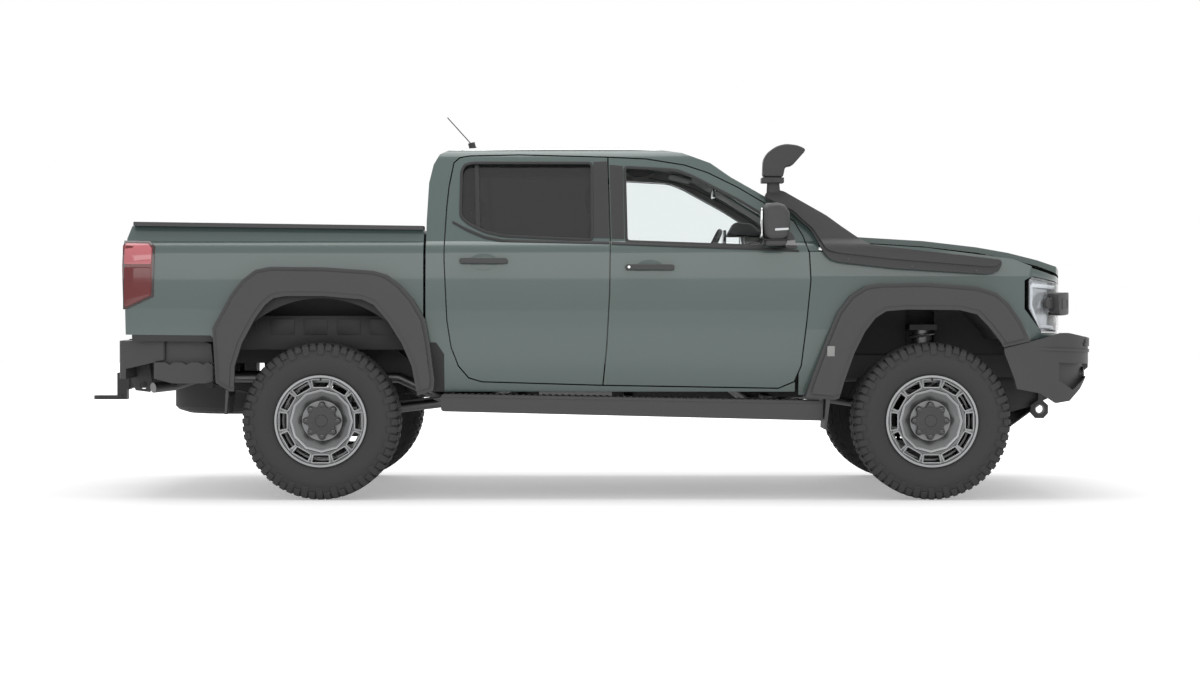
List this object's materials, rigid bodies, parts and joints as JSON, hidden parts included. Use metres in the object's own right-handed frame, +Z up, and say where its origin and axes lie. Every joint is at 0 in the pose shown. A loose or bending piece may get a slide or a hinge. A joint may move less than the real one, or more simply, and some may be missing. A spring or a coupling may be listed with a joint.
{
  "type": "double-cab pickup truck",
  "caption": "Lifted off-road double-cab pickup with flared arches, snorkel, side steps and an open cargo bed; doors, hood, tailgate, steering and wheels move.",
  "frame": {"origin": "on the ground under the centre of the bounding box", "axes": "+X forward, +Y to the vehicle's left, +Z up"},
  "size_m": [5.584, 2.208, 2.1189],
  "materials": {
    "body_paint": "semi-gloss grey-green paint",
    "frame_black": "satin black chassis paint",
    "trim_plastic": "grained dark grey plastic",
    "tyre": "moulded rubber",
    "wheel_alloy": "machined and lacquered",
    "steel": "bare worked steel",
    "iron": "sand-cast",
    "clear_glass": "clear laminated",
    "dark_glass": "privacy tint",
    "lamp_clear": "clear lens over bright reflectors",
    "lamp_red": "ribbed red lens",
    "cabin_plastic": "grained",
    "cloth": "woven",
    "snorkel_plastic": "fine grain"
  },
  "bodies": {
    "chassis": {"ladder_frame": "frame_black", "cab_shell": "body_paint", "cargo_bed": "body_paint", "bed_rails": "trim_plastic", "leaf_springs": "frame_black", "rear_axle": "iron", "control_arms": "frame_black", "front_subframe": "frame_black", "dampers": "steel", "front_drive": "iron", "steering_rack": "steel", "front_fenders": "body_paint", "arch_flares": "trim_plastic", "headlamps": "lamp_clear", "grille": "trim_plastic", "front_bumper": "trim_plastic", "rear_bumper": "trim_plastic", "tow_hitch": "frame_black", "side_steps": "trim_plastic", "snorkel": "snorkel_plastic", "glazing": "clear_glass", "tail_lamps": "lamp_red", "antenna": "snorkel_plastic", "seats": "cloth", "dashboard": "cabin_plastic", "steering_wheel": "cabin_plastic", "engine": "iron", "radiator": "steel", "front_structure": "body_paint", "gearbox": "iron", "fuel_tank": "trim_plastic", "exhaust": "steel", "skid_plate": "frame_black", "spare_tyre": "tyre", "spare_rim": "steel", "propshafts": "steel", "mudflaps": "trim_plastic", "wheel_liners": "trim_plastic"},
    "front_door_left_body": {"front_door_left": "body_paint", "front_door_glass_left": "clear_glass", "mirror_left": "trim_plastic"},
    "rear_door_left_body": {"rear_door_left": "body_paint", "rear_door_glass_left": "dark_glass"},
    "upright_left": {"knuckle_left": "iron"},
    "wheel_front_left": {"rim_front_left": "wheel_alloy", "tyre_front_left": "tyre"},
    "wheel_rear_left": {"rim_rear_left": "wheel_alloy", "tyre_rear_left": "tyre"},
    "front_door_right_body": {"front_door_right": "body_paint", "front_door_glass_right": "clear_glass", "mirror_right": "trim_plastic"},
    "rear_door_right_body": {"rear_door_right": "body_paint", "rear_door_glass_right": "dark_glass"},
    "upright_right": {"knuckle_right": "iron"},
    "wheel_front_right": {"rim_front_right": "wheel_alloy", "tyre_front_right": "tyre"},
    "wheel_rear_right": {"rim_rear_right": "wheel_alloy", "tyre_rear_right": "tyre"},
    "hood_body": {"hood": "body_paint"},
    "tailgate_body": {"tailgate": "body_paint"}
  },
  "joints": [
    {"name": "front_door_left_hinge", "type": "hinge", "parent": "chassis", "child": "front_door_left_body", "pos_m": [1.183, 0.941, 1], "axis": [0, 0, -1], "range_deg": [0, 65]},
    {"name": "rear_door_left_hinge", "type": "hinge", "parent": "chassis", "child": "rear_door_left_body", "pos_m": [0.118, 0.941, 1], "axis": [0, 0, -1], "range_deg": [0, 65]},
    {"name": "steer_left", "type": "hinge", "parent": "chassis", "child": "upright_left", "pos_m": [1.887, 0.775, 0.421], "axis": [0, 0, 1], "range_deg": [-33, 33]},
    {"name": "front_wheel_left_spin", "type": "hinge", "parent": "upright_left", "child": "wheel_front_left", "pos_m": [1.887, 0.855, 0.421], "axis": [0, 1, 0], "continuous": true},
    {"name": "rear_wheel_left_spin", "type": "hinge", "parent": "chassis", "child": "wheel_rear_left", "pos_m": [-1.383, 0.855, 0.421], "axis": [0, 1, 0], "continuous": true},
    {"name": "front_door_right_hinge", "type": "hinge", "parent": "chassis", "child": "front_door_right_body", "pos_m": [1.183, -0.941, 1], "axis": [0, 0, 1], "range_deg": [0, 65]},
    {"name": "rear_door_right_hinge", "type": "hinge", "parent": "chassis", "child": "rear_door_right_body", "pos_m": [0.118, -0.941, 1], "axis": [0, 0, 1], "range_deg": [0, 65]},
    {"name": "steer_right", "type": "hinge", "parent": "chassis", "child": "upright_right", "pos_m": [1.887, -0.775, 0.421], "axis": [0, 0, 1], "range_deg": [-33, 33]},
    {"name": "front_wheel_right_spin", "type": "hinge", "parent": "upright_right", "child": "wheel_front_right", "pos_m": [1.887, -0.855, 0.421], "axis": [0, 1, 0], "continuous": true},
    {"name": "rear_wheel_right_spin", "type": "hinge", "parent": "chassis", "child": "wheel_rear_right", "pos_m": [-1.383, -0.855, 0.421], "axis": [0, 1, 0], "continuous": true},
    {"name": "hood_hinge", "type": "hinge", "parent": "chassis", "child": "hood_body", "pos_m": [1.341, 0, 1.372], "axis": [0, -1, 0], "range_deg": [0, 55]},
    {"name": "tailgate_hinge", "type": "hinge", "parent": "chassis", "child": "tailgate_body", "pos_m": [-2.41, 0, 0.908], "axis": [0, -1, 0], "range_deg": [0, 90]}
  ],
  "couplings": [
    {"joint": "steer_right", "follows": "steer_left", "ratio": 1}
  ]
}
